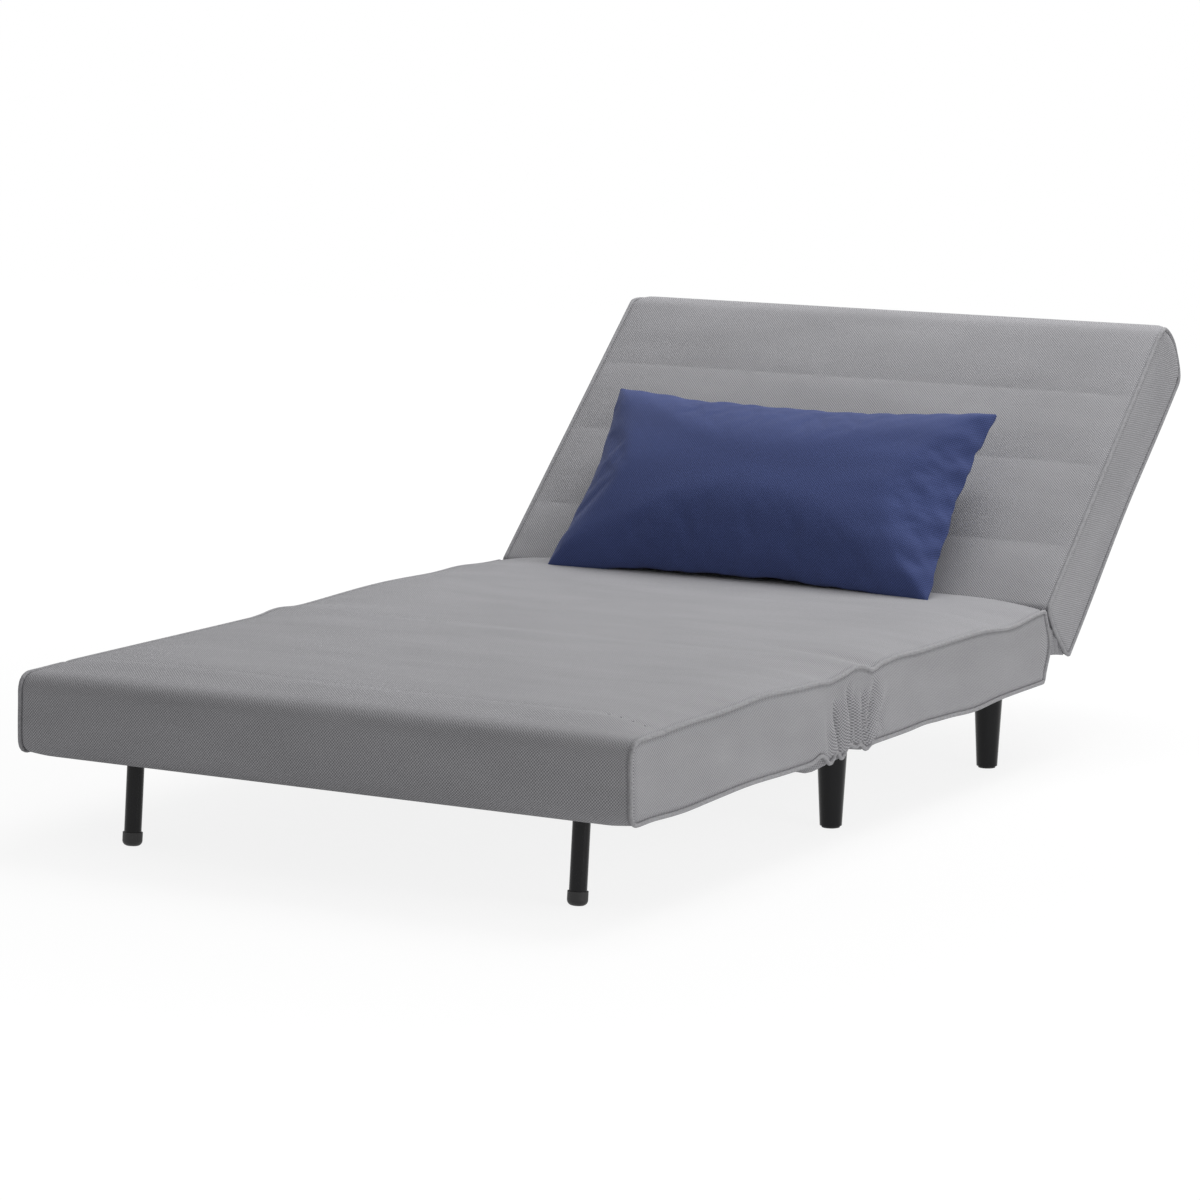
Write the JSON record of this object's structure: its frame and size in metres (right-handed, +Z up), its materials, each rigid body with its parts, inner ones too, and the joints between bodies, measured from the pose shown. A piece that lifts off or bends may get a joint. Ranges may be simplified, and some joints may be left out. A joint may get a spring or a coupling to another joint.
{
  "type": "convertible chair bed",
  "caption": "Armchair that unfolds to a single bed: cushioned foot, seat and tilting back sections on tapered and folding tube legs, with a loose pillow.",
  "frame": {"origin": "on the floor, under the middle of the overall length and width in the opened position", "axes": "+Z up, +Y from the foot end to the back, +X to the right side of a person looking along +Y"},
  "size_m": [1, 1.8892, 0.6726],
  "materials": {
    "grey_fabric": "matte",
    "blue_fabric": "matte",
    "foam": "matte",
    "filling": "matte",
    "slat_wood": "satin",
    "frame_steel": "satin",
    "zinc_steel": "satin",
    "black_leg": "gloss",
    "black_tube": "gloss",
    "black_plastic": "matte",
    "black_rubber": "matte"
  },
  "bodies": {
    "seat": {"seat_cover": "grey_fabric", "seat_foam": "foam", "seat_slats": "slat_wood", "seat_rail_left": "frame_steel", "seat_rail_right": "frame_steel", "seat_rail_front": "frame_steel", "seat_rail_rear": "frame_steel", "tapered_leg_front_left": "black_leg", "tapered_leg_front_right": "black_leg", "tapered_leg_rear_left": "black_leg", "tapered_leg_rear_right": "black_leg", "leg_glides": "black_plastic", "leg_plates": "frame_steel", "leg_bolts": "zinc_steel", "fold_hinge_seat_leaves": "zinc_steel", "fold_hinge_seat_screws": "zinc_steel", "recline_seat_plates": "zinc_steel", "recline_pivot_pins": "zinc_steel", "recline_seat_screws": "zinc_steel"},
    "foot_section": {"foot_cover": "grey_fabric", "foot_foam": "foam", "foot_slats": "slat_wood", "foot_rail_left": "frame_steel", "foot_rail_right": "frame_steel", "foot_rail_front": "frame_steel", "foot_rail_rear": "frame_steel", "fold_hinge_foot_leaves": "zinc_steel", "fold_hinge_pins": "zinc_steel", "fold_hinge_foot_screws": "zinc_steel", "leg_pivot_brackets": "frame_steel", "leg_stop_tabs": "frame_steel"},
    "leg_frame": {"leg_cross_tube": "black_tube", "leg_tube_left": "black_tube", "leg_tube_right": "black_tube", "rubber_cap_left": "black_rubber", "rubber_cap_right": "black_rubber", "cross_tube_plugs": "black_plastic"},
    "backrest": {"back_cover": "grey_fabric", "back_foam": "foam", "back_slats": "slat_wood", "back_rail_left": "frame_steel", "back_rail_right": "frame_steel", "back_rail_top": "frame_steel", "back_rail_bottom": "frame_steel", "recline_back_plates": "zinc_steel", "recline_back_screws": "zinc_steel", "recline_stop_pins": "zinc_steel"},
    "pillow": {"pillow_cover": "blue_fabric", "pillow_filling": "filling"}
  },
  "joints": [
    {"name": "foot_fold", "type": "hinge", "parent": "seat", "child": "foot_section", "pos_m": [0, -0.27465, 0.26], "axis": [-1, 0, 0], "range_deg": [0, 180]},
    {"name": "leg_frame_fold", "type": "hinge", "parent": "foot_section", "child": "leg_frame", "pos_m": [0, -0.83965, 0.16], "axis": [1, 0, 0], "range_deg": [0, 95]},
    {"name": "backrest_recline", "type": "hinge", "parent": "seat", "child": "backrest", "pos_m": [0, 0.40535, 0.244], "axis": [1, 0, 0], "range_deg": [-43, 29], "deforming": ["pillow_cover", "pillow_filling"]},
    {"name": "pillow_slide", "type": "slide", "parent": "backrest", "child": "pillow", "axis": [0, 0.7314, 0.682], "range_m": [0, 0.176]}
  ],
  "couplings": [
    {"joint": "pillow_slide", "follows": "foot_fold", "m_per_rad": 0.055704}
  ]
}
